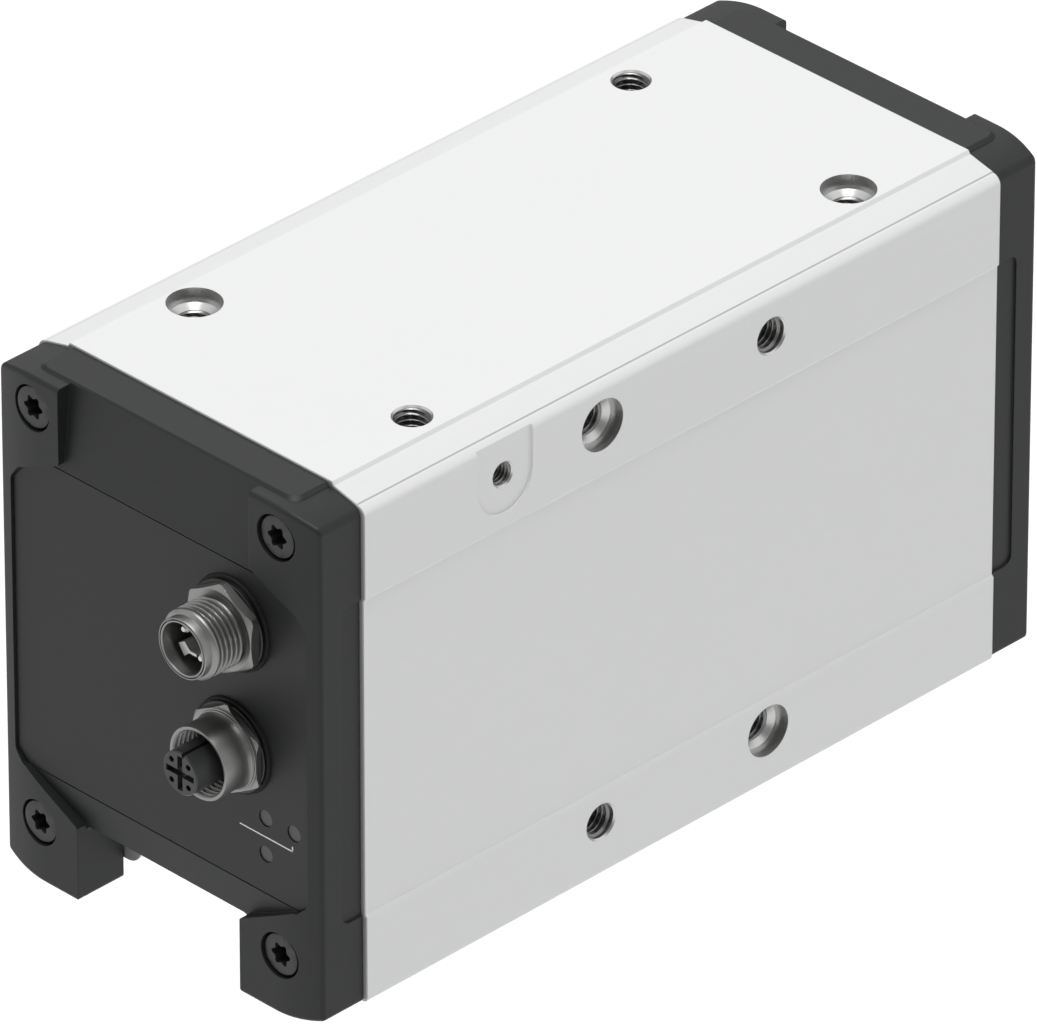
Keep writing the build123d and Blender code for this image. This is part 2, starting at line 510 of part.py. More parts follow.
def involute_gear(m, teeth, z0, z1, thin, phase=0.0, steps=4):
    """Spur gear about the Z axis; thin is the tooth thinning at the pitch circle."""
    rp = m * teeth / 2
    rb = rp * math.cos(PRESSURE)
    ra = rp + ADD * m
    rf = rp - DED * m
    inv_a = math.tan(PRESSURE) - PRESSURE
    half_p = (math.pi * m / 2 - thin) / 2 / rp
    r0 = max(rb, rf + 0.05)

    def half_at(r):
        a = math.acos(min(1.0, rb / r))
        return half_p + inv_a - (math.tan(a) - a)

    pts = []
    for t in range(teeth):
        c = phase + 2 * math.pi * t / teeth
        rad = [r0 + (ra - r0) * k / steps for k in range(steps + 1)]
        h0 = half_at(r0)
        pts.append((rf * math.cos(c - h0), rf * math.sin(c - h0)))
        for r in rad:
            h = half_at(r)
            pts.append((r * math.cos(c - h), r * math.sin(c - h)))
        for r in reversed(rad):
            h = half_at(r)
            pts.append((r * math.cos(c + h), r * math.sin(c + h)))
        pts.append((rf * math.cos(c + h0), rf * math.sin(c + h0)))
    return prism_xy(pts, z0, z1)


RACK_Z0, RACK_Z1 = 17.0, 23.0


def rack(x_lo, x_hi, thin):
    """Rack with its teeth towards -Y, on the +Y side of the pinion; a tooth is centred on x = 0."""
    p = math.pi * MOD_R
    y_tip = RACK_PITCH_Y - ADD * MOD_R
    y_root = RACK_PITCH_Y + DED * MOD_R
    half = (p / 2 - thin) / 2
    ta = math.tan(PRESSURE)
    k0 = int(math.ceil((x_lo + 1.5) / p))
    k1 = int(math.floor((x_hi - 1.5) / p))
    pts = [(x_lo, y_root)]
    for k in range(k0, k1 + 1):
        c = k * p
        hr = half + DED * MOD_R * ta
        ht = half - ADD * MOD_R * ta
        pts += [(c - hr, y_root), (c - ht, y_tip), (c + ht, y_tip), (c + hr, y_root)]
    pts += [(x_hi, y_root), (x_hi, 13.9), (x_lo, 13.9)]
    r = prism_xy(pts, RACK_Z0, RACK_Z1)
    for x in RACK_SCREW_X:
        r -= cyl_z(1.05, x, 11.75, RACK_Z0 - 1, RACK_Z1)
        r -= cyl_z(1.95, x, 11.75, 20.6, RACK_Z1 + 1)
    return r


rack_a = rack(-28.0, 47.0, 0.10)
put("rack_a", rack_a)
put("rack_b", Rot(0, 0, 180) * rack_a)
rk = []
for x in RACK_SCREW_X:
    s = cyl_z(1.0, x, 11.75, 13.2, 20.6) + cyl_z(1.9, x, 11.75, 20.6, 22.5)
    s -= cyl_z(0.8, x, 11.75, 21.4, 23)
    rk.append(s)
put("rack_screws_a", *rk)
put("rack_screws_b", *[Rot(0, 0, 180) * s for s in rk])

# ---------------------------------------------------------------- drive shaft
half_pitch = math.pi / PINION_T
pinion = involute_gear(MOD_R, PINION_T, 17.3, 22.9, 0.10, phase=math.pi / 2 + half_pitch)
shaft = pinion + cyl_z(4.0, 0, 0, 22.9, 40.6) + cyl_z(5.2, 0, 0, 22.8, 24.0) + cyl_z(3.0, 0, 0, 40.6, 41.4)
put("drive_shaft_pinion", shaft)
gear = involute_gear(MOD_G, GEAR_T, 28.8, 34.6, 0.10, phase=0.0)
gear -= cyl_z(4.0, 0, 0, 20, 40)
for k in range(6):
    a = math.radians(30 + 60 * k)
    gear -= cyl_z(3.2, 11.6 * math.cos(a), 11.6 * math.sin(a), 20, 40)
put("drive_gear", gear)
ring = cyl_z(5.3, 0, 0, 34.6, 36.0) - cyl_z(4.0, 0, 0, 34, 37)
spacer = cyl_z(5.3, 0, 0, 28.0, 28.8) - cyl_z(4.0, 0, 0, 27, 29)
put("drive_gear_spacers", ring, spacer)


def bearing(x, y, z0, z1, ri, ro):
    """Outer ring, inner ring and balls of a deep groove bearing."""
    rm = (ri + ro) / 2
    zc = (z0 + z1) / 2
    rb = (ro - ri) * 0.24
    wall = (ro - ri) / 2 - rb * 0.62
    outer = cyl_z(ro, x, y, z0, z1) - cyl_z(ro - wall, x, y, z0 - 1, z1 + 1)
    inner = cyl_z(ri + wall, x, y, z0, z1) - cyl_z(ri, x, y, z0 - 1, z1 + 1)
    groove = Pos(x, y, zc) * Torus(rm, rb + 0.04)
    outer -= groove
    inner -= groove
    balls = []
    n = 7
    for k in range(n):
        a = 2 * math.pi * k / n
        balls.append(Pos(x + rm * math.cos(a), y + rm * math.sin(a), zc) * Sphere(rb))
    return outer, inner, balls


PLATE_LO = (24.0, 28.0)
PLATE_HI = (36.0, 40.0)
o1, i1, b1 = bearing(0, 0, 24.0, 28.0, 4.0, 8.0)
o2, i2, b2 = bearing(0, 0, 36.0, 40.0, 4.0, 8.0)
put("drive_bearing_outer_rings", o1, o2)
put("drive_bearing_inner_rings", i1, i2)
put("drive_bearing_balls", *(b1 + b2))

# ---------------------------------------------------------------- chassis
plan_lo = rounded([(-29, -31.2), (54, -31.2), (54, 31.2), (-29, 31.2)], [3, 3, 3, 3])
lower = prism_xy(plan_lo, *PLATE_LO)
lower -= cyl_z(8.0, 0, 0, 20, 30)
upper = prism_xy(rounded([(-56, -31.2), (54, -31.2), (54, 31.2), (-56, 31.2)], [3, 3, 3, 3]), *PLATE_HI)
upper -= cyl_z(8.0, 0, 0, 30, 45)
upper -= cyl_z(9.0, MOTOR_X, 0, 30, 45)
for x, y in CHASSIS_XY:
    lower -= cyl_z(1.7, x, y, 20, 30)
    upper -= cyl_z(1.7, x, y, 30, 45)
FLANGE_R = 16.0
FL = [(MOTOR_X + FLANGE_R * math.cos(math.radians(a)), FLANGE_R * math.sin(math.radians(a))) for a in (25, 100, 260, 335)]
for x, y in FL:
    upper -= cyl_z(1.3, x, y, 30, 45)
BOARD_XY = [(-52.0, 24.0), (-52.0, -24.0), (-4.0, 24.0), (-4.0, -24.0)]
for x, y in BOARD_XY:
    upper -= cyl_z(1.25, x, y, 30, 45)
put("bearing_plate", lower)
put("chassis_plate", upper)
put("chassis_spacers", *[cyl_z(3.6, x, y, 28, 36) - cyl_z(1.7, x, y, 27, 37) for x, y in CHASSIS_XY])
cs = []
for x, y in CHASSIS_XY:
    s = cyl_z(1.5, x, y, 14.0, 40.0) + cyl_z(2.75, x, y, 40.0, 43.0)
    s -= prism_xy([(x + 1.4 * math.cos(math.radians(60 * k)), y + 1.4 * math.sin(math.radians(60 * k))) for k in range(6)], 41.5, 44)
    cs.append(s)
put("chassis_screws", *cs)

# ---------------------------------------------------------------- motor
mx = MOTOR_X
flange = cyl_z(21.0, mx, 0, 40.0, 43.6) + cyl_z(9.0, mx, 0, 38.0, 40.5)
flange -= cyl_z(6.5, mx, 0, 39.6, 45)
flange -= cyl_z(4.2, mx, 0, 37, 45)
for x, y in FL:
    flange -= cyl_z(1.25, x, y, 39, 42.6)
put("motor_flange", flange)
put("motor_screws", *[cyl_z(1.25, x, y, 35.2, 42.4) + cyl_z(2.3, x, y, 33.6, 36.0) - cyl_z(1.0, x, y, 33, 34.6) for x, y in FL])
can = cyl_z(21.0, mx, 0, 43.6, 69.0) - cyl_z(19.0, mx, 0, 43, 70)
for y in (-5.0, 0.0, 5.0):
    can -= cyl_x(1.0, mx - 22, mx - 17, y, 47.4)
put("motor_can", can)
bell = cyl_z(21.0, mx, 0, 69.0, 72.4) + cyl_z(19.0, mx, 0, 66.4, 69.5)
bell -= cyl_z(6.5, mx, 0, 66, 70.4)
bell -= cyl_z(4.2, mx, 0, 66, 73)
for k in range(4):
    a = math.radians(45 + 90 * k)
    bell -= cyl_z(1.0, mx + 12.5 * math.cos(a), 12.5 * math.sin(a), 69.9, 73)
put("motor_end_bell", bell)
# stator: ring with nine teeth and pole shoes
core = cyl_z(19.0, mx, 0, 48.6, 62.6) - cyl_z(15.6, mx, 0, 48, 63)
coils = []
for k in range(9):
    a = 40 * k
    rot = Pos(mx, 0, 0) * Rot(0, 0, a)
    core += rot * box(11.9, 16.5, -1.5, 1.5, 48.6, 62.6)
    shoe = (cyl_z(12.6, 0, 0, 48.6, 62.6) - cyl_z(11.2, 0, 0, 48, 63)) & box(10, 14, -3.4, 3.4, 48, 63)
    core += rot * shoe
    coil = box(12.9, 15.3, -3.0, 3.0, 46.4, 64.8)
    coil = fillet(coil.edges().filter_by(Axis.X), 1.2)
    coil -= box(12, 16, -1.5, 1.5, 48.6, 62.6)
    coils.append(rot * coil)
put("stator_core", core)
put("stator_windings", *coils)
o3, i3, b3 = bearing(mx, 0, 39.6, 43.6, 2.5, 6.5)
o4, i4, b4 = bearing(mx, 0, 66.4, 70.4, 2.5, 6.5)
put("motor_bearing_outer_rings", o3, o4)
put("motor_bearing_inner_rings", i3, i4)
put("motor_bearing_balls", *(b3 + b4))
mpin = Pos(mx, 0, 0) * involute_gear(MOD_G, MOTOR_T, 28.6, 34.8, 0.10, phase=math.pi / MOTOR_T)
mshaft = mpin + cyl_z(2.5, mx, 0, 34.8, 72.9) + cyl_z(3.6, mx, 0, 34.7, 35.6)
put("motor_shaft_pinion", mshaft)
rcore = cyl_z(8.6, mx, 0, 47.6, 63.6) - cyl_z(2.5, mx, 0, 47, 64)
put("rotor_core", rcore)
mags = []
for k in range(8):
    seg = (cyl_z(10.7, 0, 0, 48.2, 63.0) - cyl_z(8.6, 0, 0, 48, 64)) & box(4, 12, -3.4, 3.4, 47, 64)
    mags.append(Pos(mx, 0, 0) * Rot(0, 0, 45 * k) * seg)
put("rotor_magnets", *mags)
put("encoder_magnet", cyl_z(3.0, mx, 0, 72.9, 74.6))

# ---------------------------------------------------------------- electronics
enc = prism_xy(rounded([(mx - 14, -14), (mx + 14, -14), (mx + 14, 14), (mx - 14, 14)], [2, 2, 2, 2]), 76.2, 77.4)
for k in range(4):
    a = math.radians(45 + 90 * k)
    enc -= cyl_z(1.1, mx + 12.5 * math.cos(a), 12.5 * math.sin(a), 75, 79)
enc += box(mx - 2.5, mx + 2.5, -2.5, 2.5, 75.3, 76.3)
enc += box(mx - 11, mx - 6, -4, 4, 77.3, 80.3)
put("encoder_board", enc)
es = []
for k in range(4):
    a = math.radians(45 + 90 * k)
    x, y = mx + 12.5 * math.cos(a), 12.5 * math.sin(a)
    es.append(cyl_z(1.0, x, y, 70.2, 77.4) + cyl_z(2.0, x, y, 72.4, 76.2) + cyl_z(1.9, x, y, 77.4, 78.8))
put("encoder_board_posts", *es)


def board(x0, x1, z):
    b = prism_xy(rounded([(x0, -28), (x1, -28), (x1, 28), (x0, 28)], [2, 2, 2, 2]), z, z + 1.6)
    for x, y in BOARD_XY:
        b -= cyl_z(1.25, x, y, z - 1, z + 3)
    return b


put("power_board", board(-57.0, 1.0, 45.0))
put("control_board", board(-57.0, 1.0, 60.0))
put("power_board_capacitors", *[cyl_z(5.0, x, y, 46.6, 58.2) for x, y in ((-42, 12), (-30, 12), (-42, -12), (-30, -12))])
chips = [box(-33, -21, -6, 6, 61.6, 62.9), box(-48, -41, -5, 3, 61.6, 62.9), box(-14, -8, -14, -7, 61.6, 62.6),
         box(-16, -9, 8, 15, 61.6, 62.6)]
trans = [box(-18, -11.5, y - 3.2, y + 3.2, 46.6, 48.6) for y in (-16, -6, 6, 16)]
put("board_chips", *(chips + trans))
st = []
for x, y in BOARD_XY:
    st.append(cyl_z(1.25, x, y, 36.5, 45.0) + cyl_z(2.6, x, y, 40.0, 45.0))
    st.append(cyl_z(1.25, x, y, 45.0, 60.0) + cyl_z(2.6, x, y, 46.6, 60.0))
put("board_standoffs", *st)
put("board_screws", *[cyl_z(1.25, x, y, 60.0, 61.6) + cyl_z(2.4, x, y, 61.6, 63.2) - cyl_z(0.9, x, y, 62.4, 64) for x, y in BOARD_XY])
BOARD_X = (-66.2, -64.6)
cb = box(*BOARD_X, -30.8, 30.8, 24.6, 74)
for y, z in PIN_YZ + [(-1.85, -1.85)]:
    cb -= cyl_x(0.45, -67, -64, CON_Y - y, POWER_Z + z)
for y, z in HOLE_YZ:
    cb -= cyl_x(0.35, -67, -64, CON_Y - y, COM_Z + z)
for y, z in LED_YZ:
    cb += box(BOARD_X[0] - 0.8, BOARD_X[0] + 0.1, y - 1.0, y + 1.0, z - 0.8, z + 0.8)
put("connector_board", cb)
put("board_headers", box(-64.6, -54.5, -12, 18, 61.6, 66.0) - box(-63, -56, -10, 16, 63, 67),
    box(-64.6, -54.5, -12, 12, 46.6, 51.0) - box(-63, -56, -10, 10, 48.2, 52))
put("motor_phase_leads", *[cyl_x(0.8, -8.0, mx - 18.4, y, 47.4) for y in (-5.0, 0.0, 5.0)])

# ---------------------------------------------------------------- output
for name, solids in NODES.items():
    moved = [Pos(0, 0, -HEIGHT) * s for s in solids]
    shape = moved[0] if len(moved) == 1 else Compound(children=moved)
    shape.label = name
    export_step(shape, "parts/" + name + ".step")
print(len(NODES), "nodes")
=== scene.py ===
import bmesh
import bpy
import json
import math
from mathutils import Vector, Matrix


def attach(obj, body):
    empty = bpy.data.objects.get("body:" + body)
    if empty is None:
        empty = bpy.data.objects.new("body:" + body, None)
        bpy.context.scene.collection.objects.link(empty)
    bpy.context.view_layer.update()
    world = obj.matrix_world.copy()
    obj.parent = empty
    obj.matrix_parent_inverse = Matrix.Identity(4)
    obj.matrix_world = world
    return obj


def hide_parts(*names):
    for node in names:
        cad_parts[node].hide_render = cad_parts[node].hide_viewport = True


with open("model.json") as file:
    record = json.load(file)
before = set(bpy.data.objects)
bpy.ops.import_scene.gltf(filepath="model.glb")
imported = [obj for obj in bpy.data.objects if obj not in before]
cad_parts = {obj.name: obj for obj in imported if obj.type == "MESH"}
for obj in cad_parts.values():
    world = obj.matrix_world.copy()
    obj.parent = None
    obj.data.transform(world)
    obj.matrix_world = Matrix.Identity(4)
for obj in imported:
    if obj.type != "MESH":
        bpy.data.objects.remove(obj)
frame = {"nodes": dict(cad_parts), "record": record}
nodes = frame["nodes"]
scene = bpy.context.scene
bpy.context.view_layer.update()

MM = 0.001
HEIGHT = 92.25          # bottom edge of the housing to the top mounting face, mm
HX = 70.425             # half length of the housing, mm


# ------------------------------------------------------------------ materials
def new_mat(name):
    m = bpy.data.materials.new(name)
    m.use_nodes = True
    nt = m.node_tree
    for n in list(nt.nodes):
        nt.nodes.remove(n)
    out = nt.nodes.new("ShaderNodeOutputMaterial")
    bsdf = nt.nodes.new("ShaderNodeBsdfPrincipled")
    nt.links.new(bsdf.outputs["BSDF"], out.inputs["Surface"])
    return m, nt, bsdf


def surface(name, color, metallic=0.0, rough=0.5, rough_var=0.06, var=0.06, grain=900.0,
            bump=0.15, bump_dist=0.00002, bevel=0.0, stretch=(1, 1, 1), spec=0.5, coat=0.0,
            coarse=60.0, coarse_var=0.03):
    """Principled surface whose colour, roughness and relief all vary procedurally."""
    m, nt, bsdf = new_mat(name)
    L = nt.links
    tc = nt.nodes.new("ShaderNodeTexCoord")
    mp = nt.nodes.new("ShaderNodeMapping")
    mp.inputs["Scale"].default_value = stretch
    L.new(tc.outputs["Object"], mp.inputs["Vector"])
    fine = nt.nodes.new("ShaderNodeTexNoise")
    fine.inputs["Scale"].default_value = grain
    fine.inputs["Detail"].default_value = 4.0
    fine.inputs["Roughness"].default_value = 0.6
    L.new(mp.outputs["Vector"], fine.inputs["Vector"])
    broad = nt.nodes.new("ShaderNodeTexNoise")
    broad.inputs["Scale"].default_value = coarse
    broad.inputs["Detail"].default_value = 3.0
    L.new(tc.outputs["Object"], broad.inputs["Vector"])
    # colour
    mixf = nt.nodes.new("ShaderNodeMath")
    mixf.operation = "MULTIPLY_ADD"
    mixf.inputs[1].default_value = coarse_var * 2
    mixf.inputs[2].default_value = 1.0 - coarse_var
    L.new(broad.outputs["Fac"], mixf.inputs[0])
    mixg = nt.nodes.new("ShaderNodeMath")
    mixg.operation = "MULTIPLY_ADD"
    mixg.inputs[1].default_value = var * 2
    mixg.inputs[2].default_value = 1.0 - var
    L.new(fine.outputs["Fac"], mixg.inputs[0])
    mul = nt.nodes.new("ShaderNodeMath")
    mul.operation = "MULTIPLY"
    L.new(mixf.outputs[0], mul.inputs[0])
    L.new(mixg.outputs[0], mul.inputs[1])
    vm = nt.nodes.new("ShaderNodeVectorMath")
    vm.operation = "SCALE"
    vm.inputs[0].default_value = color
    L.new(mul.outputs[0], vm.inputs["Scale"])
    L.new(vm.outputs["Vector"], bsdf.inputs["Base Color"])
    # roughness
    rr = nt.nodes.new("ShaderNodeMapRange")
    rr.inputs["To Min"].default_value = max(0.02, rough - rough_var)
    rr.inputs["To Max"].default_value = min(1.0, rough + rough_var)
    L.new(fine.outputs["Fac"], rr.inputs["Value"])
    L.new(rr.outputs["Result"], bsdf.inputs["Roughness"])
    bsdf.inputs["Metallic"].default_value = metallic
    bsdf.inputs["Specular IOR Level"].default_value = spec
    bsdf.inputs["Coat Weight"].default_value = coat
    bsdf.inputs["Coat Roughness"].default_value = 0.25
    # relief
    bp = nt.nodes.new("ShaderNodeBump")
    bp.inputs["Strength"].default_value = bump
    bp.inputs["Distance"].default_value = bump_dist
    L.new(fine.outputs["Fac"], bp.inputs["Height"])
    if bevel > 0:
        bv = nt.nodes.new("ShaderNodeBevel")
        bv.samples = 6
        bv.inputs["Radius"].default_value = bevel
        L.new(bv.outputs["Normal"], bp.inputs["Normal"])
    L.new(bp.outputs["Normal"], bsdf.inputs["Normal"])
    return m


M = {}
M["anodised"] = surface("anodised_aluminium", (0.781, 0.790, 0.785), metallic=0.04, rough=0.34, rough_var=0.04, var=0.012,
                        grain=1400, bump=0.04, bevel=0.00004, stretch=(0.06, 1, 1), spec=0.45, coarse=25, coarse_var=0.006)
M["bare_bore"] = surface("machined_aluminium", (0.58, 0.58, 0.575), metallic=1.0, rough=0.34, rough_var=0.04, var=0.03,
                         grain=2500, bump=0.04, bump_dist=0.000004)
# painted shade: the threads in the tapped holes get a much darker aluminium than the bore walls, for the shade deep
# inside the holes
M["thread_deep"] = surface("thread_aluminium_painted_shade", (0.20, 0.20, 0.197), metallic=1.0, rough=0.32, rough_var=0.04, var=0.03,
                           grain=2500, bump=0.04, bump_dist=0.000004)
# painted shade: the rounded end rim of the housing gets a mid grey, far darker than the anodised profile, for the
# shading of the rounded edge
M["end_rim"] = surface("housing_rim_painted_shade", (0.36, 0.362, 0.36), metallic=0.1, rough=0.5, var=0.06, grain=1800, bump=0.1, spec=0.3)
# painted shade: a darker grey for the thin band in the shoulder groove, where shade falls
M["groove_shade"] = surface("groove_painted_shade", (0.50, 0.503, 0.50), metallic=0.04, rough=0.5, var=0.03, grain=1400, bump=0.05)
M["end_cut"] = surface("sawn_aluminium", (0.42, 0.42, 0.415), metallic=0.6, rough=0.45, var=0.08, grain=1800, bump=0.2)
M["cover"] = surface("cover_black", (0.0152, 0.0178, 0.0160), metallic=0.0, rough=0.50, rough_var=0.07, var=0.06,
                     grain=3200, bump=0.30, bump_dist=0.000018, bevel=0.00018, spec=0.30, coarse=40, coarse_var=0.02)
M["foil"] = surface("panel_foil", (0.0130, 0.0152, 0.0132), metallic=0.0, rough=0.46, rough_var=0.05, var=0.04,
                    grain=4200, bump=0.18, bump_dist=0.000010, bevel=0.00008, spec=0.30, coarse=30, coarse_var=0.015)
M["mark"] = surface("print_white", (0.78, 0.78, 0.77), rough=0.5, var=0.03, grain=3000, bump=0.05)
M["gasket"] = surface("gasket_rubber", (0.016, 0.016, 0.016), rough=0.75, grain=1500, bump=0.3, spec=0.3)
M["black_steel"] = surface("black_steel", (0.026, 0.028, 0.026), metallic=0.10, rough=0.42, var=0.08, grain=2600,
                           bump=0.10, bevel=0.00008, spec=0.42)
M["nickel"] = surface("nickel_shell", (0.27, 0.27, 0.265), metallic=1.0, rough=0.42, rough_var=0.03, var=0.02, grain=2600,
                      bump=0.03, bump_dist=0.000003)
# painted shade: a much darker copy of the nickel for the connector flanges beside the hexagon
M["nickel_dark"] = surface("nickel_flange_painted_shade", (0.060, 0.060, 0.059), metallic=1.0, rough=0.40, rough_var=0.03, var=0.03, grain=2600,
                           bump=0.03, bump_dist=0.000003)
# painted shade: a darker copy of the nickel for the hexagon flats, standing in for the dark cover they reflect
M["nickel_flats_painted_shade"] = surface("nickel_flats_painted_shade", (0.21, 0.21, 0.207), metallic=1.0, rough=0.46, rough_var=0.03, var=0.03, grain=2600,
                           bump=0.03, bump_dist=0.000003)
M["insert"] = surface("insert_plastic", (0.026, 0.027, 0.027), rough=0.42, var=0.05, grain=2500, bump=0.12, bevel=0.00008)
M["contact"] = surface("contact_metal", (0.80, 0.80, 0.78), metallic=1.0, rough=0.52, rough_var=0.03, var=0.03, grain=3000, bump=0.04, bump_dist=0.000003)
M["lens"] = surface("indicator_lens", (0.052, 0.054, 0.053), rough=0.40, var=0.04, grain=1800, bump=0.05, bevel=0.0001)
M["steel"] = surface("steel_ground", (0.55, 0.55, 0.55), metallic=1.0, rough=0.28, var=0.04, grain=1600, bump=0.12,
                     bump_dist=0.00001, stretch=(0.1, 1, 1), bevel=0.00012)
M["jaw"] = surface("jaw_aluminium", (0.46, 0.465, 0.46), metallic=0.75, rough=0.36, var=0.03, grain=1500, bump=0.08,
                   bevel=0.0003)
M["plate"] = surface("plate_aluminium", (0.60, 0.60, 0.60), metallic=0.9, rough=0.35, var=0.05, grain=700, bump=0.15,
                     stretch=(0.1, 1, 1), bevel=0.0002)
M["pcb"] = surface("circuit_board", (0.015, 0.11, 0.05), rough=0.35, var=0.12, grain=500, bump=0.2, coarse=350, coarse_var=0.2)
M["chip"] = surface("chip_black", (0.025, 0.025, 0.028), rough=0.5, var=0.08, grain=2500, bump=0.2)
M["can"] = surface("capacitor_can", (0.55, 0.56, 0.58), metallic=0.9, rough=0.3, var=0.04, grain=1500, bump=0.08)
M["header"] = surface("header_plastic", (0.55, 0.52, 0.42), rough=0.5, var=0.05, grain=1500, bump=0.1)
M["brass"] = surface("brass_post", (0.66, 0.47, 0.20), metallic=1.0, rough=0.28, var=0.05, grain=1800, bump=0.1)
M["motor"] = surface("motor_black", (0.030, 0.030, 0.033), metallic=0.3, rough=0.38, var=0.06, grain=1800, bump=0.12)
M["lamination"] = surface("electrical_steel", (0.30, 0.30, 0.31), metallic=0.9, rough=0.4, var=0.08, grain=400,
                          bump=0.4, stretch=(0.05, 0.05, 6))
M["copper"] = surface("copper_wire", (0.62, 0.24, 0.09), metallic=0.9, rough=0.3, var=0.1, grain=700, bump=0.5,
                      stretch=(0.2, 0.2, 3))
M["magnet"] = surface("magnet", (0.55, 0.55, 0.57), metallic=1.0, rough=0.2, var=0.03, grain=1500, bump=0.05)
M["zinc"] = surface("zinc_steel", (0.58, 0.58, 0.56), metallic=1.0, rough=0.3, var=0.06, grain=1500, bump=0.1)
M["lead"] = surface("lead_sleeve", (0.28, 0.02, 0.02), rough=0.45, var=0.06, grain=1500, bump=0.1)

SLOT_MAT = {
    "anodised_profile": "anodised", "cover_black": "cover", "panel_foil": "foil", "gasket_rubber": "gasket", "black_steel": "black_steel",
    "nickel_shell": "nickel", "insert_plastic": "insert", "gold_contact": "contact", "indicator_lens": "lens",
    "steel_ground": "steel", "jaw_aluminium": "jaw", "plate_aluminium": "plate", "circuit_board": "pcb",
    "chip_black": "chip", "capacitor_can": "can", "header_plastic": "header", "brass_post": "brass",
    "motor_black": "motor", "electrical_steel": "lamination", "copper_wire": "copper", "magnet": "magnet",
    "zinc_steel": "zinc", "lead_sleeve": "lead",
}
slot_of = {s["node"]: s["material_slot"] for s in frame["record"]["subparts"]}


def flatten_planes(me):
    """Turn smooth shading off on broad flat areas, so the soft shading of a curve next to them stays on the curve."""
    npoly = len(me.polygons)
    key, vid = {}, []
    for v in me.vertices:
        k = (round(v.co.x * 1e6), round(v.co.y * 1e6), round(v.co.z * 1e6))
        vid.append(key.setdefault(k, len(key)))
    normals = [tuple(p.normal) for p in me.polygons]
    areas = [p.area * 1e6 for p in me.polygons]
    edges = {}
    for p in me.polygons:
        vs = [vid[i] for i in p.vertices]
        for i in range(len(vs)):
            a, b = vs[i - 1], vs[i]
            if a != b:
                edges.setdefault((a, b) if a < b else (b, a), []).append(p.index)
    pos = {i: k for k, i in key.items()}
    parent = list(range(npoly))

    def find(i):
        while parent[i] != i:
            parent[i] = parent[parent[i]]
            i = parent[i]
        return i

    def dot(i, j):
        a, b = normals[i], normals[j]
        return a[0] * b[0] + a[1] * b[1] + a[2] * b[2]

    for fs in edges.values():
        if len(fs) == 2 and dot(*fs) > 0.999995:
            parent[find(fs[0])] = find(fs[1])
    area, border, soft = {}, {}, {}
    for i in range(npoly):
        r = find(i)
        area[r] = area.get(r, 0.0) + areas[i]
    for (a, b), fs in edges.items():
        ra = {find(f) for f in fs}
        if len(ra) < 2:
            continue
        pa, pb = pos[a], pos[b]
        ln = math.dist(pa, pb) * 1e-3
        for r in ra:
            border[r] = border.get(r, 0.0) + ln
        if len(fs) == 2 and dot(*fs) > 0.87:
            r0, r1 = find(fs[0]), find(fs[1])
            soft.setdefault(r0, set()).add(r1)
            soft.setdefault(r1, set()).add(r0)
    width = {r: 2 * area[r] / max(border.get(r, 1e-9), 1e-9) for r in area}
    flat = set()
    for r in area:
        near = [width[q] for q in soft.get(r, ())]
        if area[r] > 0.4 and width[r] > 0.25 and (not near or width[r] > 3.0 * max(near)):
            flat.add(r)
    return [find(i) not in flat for i in range(npoly)]


def smooth_node(ob, angle=27.0):
    """Soft shading across the small facets of curved faces, sharp at real edges; the vertices stay as they are."""
    me = ob.data
    if me.has_custom_normals:
        for o in bpy.context.selected_objects:
            o.select_set(False)
        bpy.context.view_layer.objects.active = ob
        ob.select_set(True)
        bpy.ops.mesh.customdata_custom_splitnormals_clear()
    me.polygons.foreach_set("use_smooth", flatten_planes(me))
    w = ob.modifiers.new("weld", "WELD")
    w.merge_threshold = 0.000002
    e = ob.modifiers.new("split", "EDGE_SPLIT")
    e.split_angle = math.radians(angle)
    e.use_edge_sharp = False
    n = ob.modifiers.new("weighted", "WEIGHTED_NORMAL")
    n.mode = "FACE_AREA"
    n.weight = 96


for name, ob in nodes.items():
    ob.data.materials.clear()
    ob.data.materials.append(M[SLOT_MAT[slot_of[name]]])
    smooth_node(ob)

# machined holes and cut ends of the housing keep bare metal
TOP_HOLES = [(-48.35, 24.0, True), (48.35, -24.0, True), (-48.35, -24.0, False), (48.35, 24.0, False)]
SIDE_HOLES = [(-18.8, 83.0, True), (18.8, 9.95, True), (18.8, 83.0, False), (-18.8, 9.95, False)]
EARTH = (-40.15, 83.14)
hp = nodes["housing_profile"].data
hp.materials.append(M["bare_bore"])
hp.materials.append(M["end_cut"])
hp.materials.append(M["groove_shade"])
for poly in hp.polygons:
    cx, cy, cz = (v / MM for v in poly.center)
    cz += HEIGHT
    n = poly.normal
    if abs(abs(cx) - HX) < 0.02 and abs(n.x) > 0.9:
        poly.material_index = 2
        continue
    # painted shade in the shoulder groove: these faces get the darker groove grey
    if 34.17 < abs(cy) < 34.50 and 90.30 < cz < 90.52 and abs(n.x) < 0.01:
        poly.material_index = 3
        continue
    if cz < HEIGHT - 0.004 and cz > HEIGHT - 15:
        for x, y, big in TOP_HOLES:
            if math.hypot(cx - x, cy - y) < 4.7:
                poly.material_index = 1
    for side in (-1, 1):
        depth = 36.0 - side * cy
        if 0.004 < depth < 15:
            for x, z, big in SIDE_HOLES:
                xx = x if side < 0 else -x
                if math.hypot(cx - xx, cz - z) < 4.7 and not (depth < 0.5 and abs(n.y) > 0.95):
                    poly.material_index = 1
    if 0.5 < 36.0 + cy < 12 and math.hypot(cx - EARTH[0], cz - EARTH[1]) < 2.5:
        poly.material_index = 1


